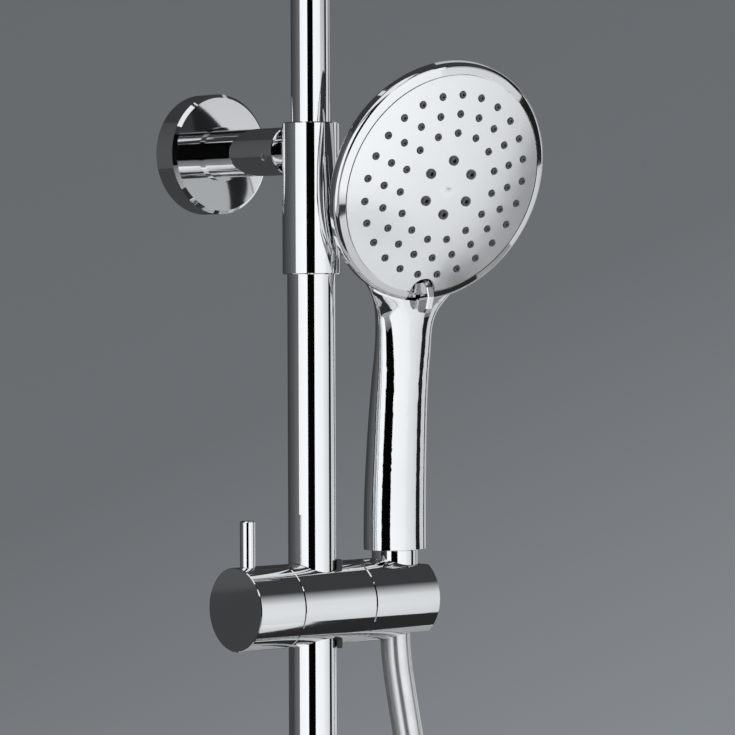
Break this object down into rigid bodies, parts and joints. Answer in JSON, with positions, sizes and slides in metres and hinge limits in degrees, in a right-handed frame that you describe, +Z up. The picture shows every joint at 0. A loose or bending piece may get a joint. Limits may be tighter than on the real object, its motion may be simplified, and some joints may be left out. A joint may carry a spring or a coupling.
{
  "type": "rainfall shower column",
  "caption": "Exposed rainfall shower column: telescopic riser with overhead rain head, sliding handset holder, round hand shower, hose and bar mixer.",
  "frame": {"origin": "on the wall face, midway between the two supply inlets", "axes": "+Z up along the riser, +Y into the wall, +X to the right seen from the room"},
  "size_m": [0.3065, 0.5744, 1.6416],
  "materials": {
    "chrome": "polished",
    "brass": "satin",
    "rubber": "matt",
    "plastic_white": "matt",
    "plastic_grey": "matt",
    "steel": "brushed",
    "hose_pvc": "satin silver",
    "plastic_red": "gloss",
    "silicone": "satin",
    "chrome_plastic": "polished plating",
    "satin_face": "satin plating"
  },
  "bodies": {
    "column": {"inlet_unions": "brass", "wall_escutcheons": "chrome", "union_nuts": "chrome", "filter_washers": "rubber", "check_valves": "plastic_white", "mixer_body": "chrome", "thermostatic_cartridge": "plastic_grey", "diverter_cartridge": "plastic_grey", "cartridge_nuts": "brass", "riser_washer": "rubber", "riser_ferrule": "brass", "riser_nut": "chrome", "lower_riser_tube": "chrome", "riser_collar": "chrome", "riser_gland_bush": "plastic_white", "bracket_arm": "chrome", "bracket_grub_screw": "steel", "bracket_base_ring": "chrome", "bracket_flange": "chrome", "bracket_wall_plate": "steel", "shower_hose": "hose_pvc", "hose_lower_nut": "chrome", "hose_lower_ferrule": "chrome", "hose_lower_washer": "rubber"},
    "temperature_control": {"temperature_handle": "chrome", "temperature_cap": "chrome"},
    "stop_button": {"temperature_stop_button": "plastic_red"},
    "flow_control": {"flow_handle": "chrome", "flow_cap": "chrome"},
    "riser_carrier": {"riser_seal_carrier": "plastic_grey", "riser_o_rings": "rubber"},
    "upper_riser": {"upper_riser_tube": "chrome", "overhead_outlet_fitting": "brass", "overhead_ball_nut": "chrome"},
    "ball_seal": {"overhead_ball_seal": "rubber"},
    "rain_head": {"overhead_swivel_ball": "chrome", "rain_head_cover": "chrome", "rain_head_face": "chrome", "rain_head_nozzle_mat": "silicone"},
    "rail_bush": {"slider_bush": "plastic_grey"},
    "slider": {"slider_body": "chrome", "tilt_screw": "steel", "tilt_friction_ring": "rubber"},
    "knob": {"clamp_knob": "chrome", "knob_lever_pin": "chrome", "clamp_screw": "steel"},
    "pad": {"clamp_pad": "brass"},
    "holder": {"handset_holder": "chrome", "holder_liner": "plastic_grey"},
    "cone_seat": {"hose_cone_nut": "chrome", "handset_washer": "rubber"},
    "handset": {"handset_shell": "chrome_plastic", "handset_rim": "chrome_plastic", "spray_face_plate": "satin_face", "rain_nozzle_mat": "silicone", "massage_jet_insert": "silicone", "flow_divider": "plastic_grey", "handset_inlet_thread": "brass"},
    "mode_selector": {"mode_lever": "chrome_plastic", "mode_disc": "plastic_grey"}
  },
  "joints": [
    {"name": "temperature_turn", "type": "hinge", "parent": "column", "child": "temperature_control", "pos_m": [-0.12, -0.08, 0], "axis": [1, 0, 0], "range_deg": [-120, 120]},
    {"name": "stop_button_press", "type": "slide", "parent": "temperature_control", "child": "stop_button", "axis": [0, 1, 0], "range_m": [0, 0.003], "stiffness_N_per_m": 800},
    {"name": "flow_turn", "type": "hinge", "parent": "column", "child": "flow_control", "pos_m": [0.12, -0.08, 0], "axis": [1, 0, 0], "range_deg": [-60, 60]},
    {"name": "riser_height", "type": "slide", "parent": "column", "child": "riser_carrier", "axis": [0, 0, 1], "range_m": [-0.25, 0.1]},
    {"name": "riser_swivel", "type": "hinge", "parent": "riser_carrier", "child": "upper_riser", "pos_m": [0, -0.08, 0.712], "axis": [0, 0, 1], "range_deg": [-75, 75]},
    {"name": "rain_head_spin", "type": "hinge", "parent": "upper_riser", "child": "ball_seal", "pos_m": [0, -0.46, 1.168], "axis": [0, 0, 1], "range_deg": [-180, 180]},
    {"name": "rain_head_tilt", "type": "hinge", "parent": "ball_seal", "child": "rain_head", "pos_m": [0, -0.46, 1.168], "axis": [1, 0, 0], "range_deg": [-12, 12]},
    {"name": "slider_height", "type": "slide", "parent": "column", "child": "rail_bush", "axis": [0, 0, 1], "range_m": [-0.45, 0.11], "deforming": ["shower_hose"]},
    {"name": "slider_swivel", "type": "hinge", "parent": "rail_bush", "child": "slider", "pos_m": [0, -0.08, 0.64], "axis": [0, 0, 1], "range_deg": [-60, 35]},
    {"name": "clamp_knob_turn", "type": "hinge", "parent": "slider", "child": "knob", "pos_m": [-0.032, -0.08, 0.64], "axis": [1, 0, 0], "range_deg": [-75, 75]},
    {"name": "clamp_pad_press", "type": "slide", "parent": "slider", "child": "pad", "axis": [1, 0, 0], "range_m": [-0.00027, 0.00027]},
    {"name": "holder_tilt", "type": "hinge", "parent": "slider", "child": "holder", "pos_m": [0.043, -0.08, 0.64], "axis": [1, 0, 0], "range_deg": [0, 40]},
    {"name": "handset_lift", "type": "slide", "parent": "holder", "child": "cone_seat", "axis": [0, 0, 1], "range_m": [0, 0.15]},
    {"name": "handset_turn", "type": "hinge", "parent": "cone_seat", "child": "handset", "pos_m": [0.0506, -0.08, 0.64], "axis": [0, 0, 1], "range_deg": [-1, 60]},
    {"name": "spray_mode_swing", "type": "hinge", "parent": "handset", "child": "mode_selector", "pos_m": [0.04553, -0.12451, 0.8317], "axis": [-0.1068, -0.9377, -0.3305], "range_deg": [-5.4, 1]}
  ],
  "couplings": [
    {"joint": "clamp_pad_press", "follows": "clamp_knob_turn", "m_per_rad": 0.0002}
  ]
}
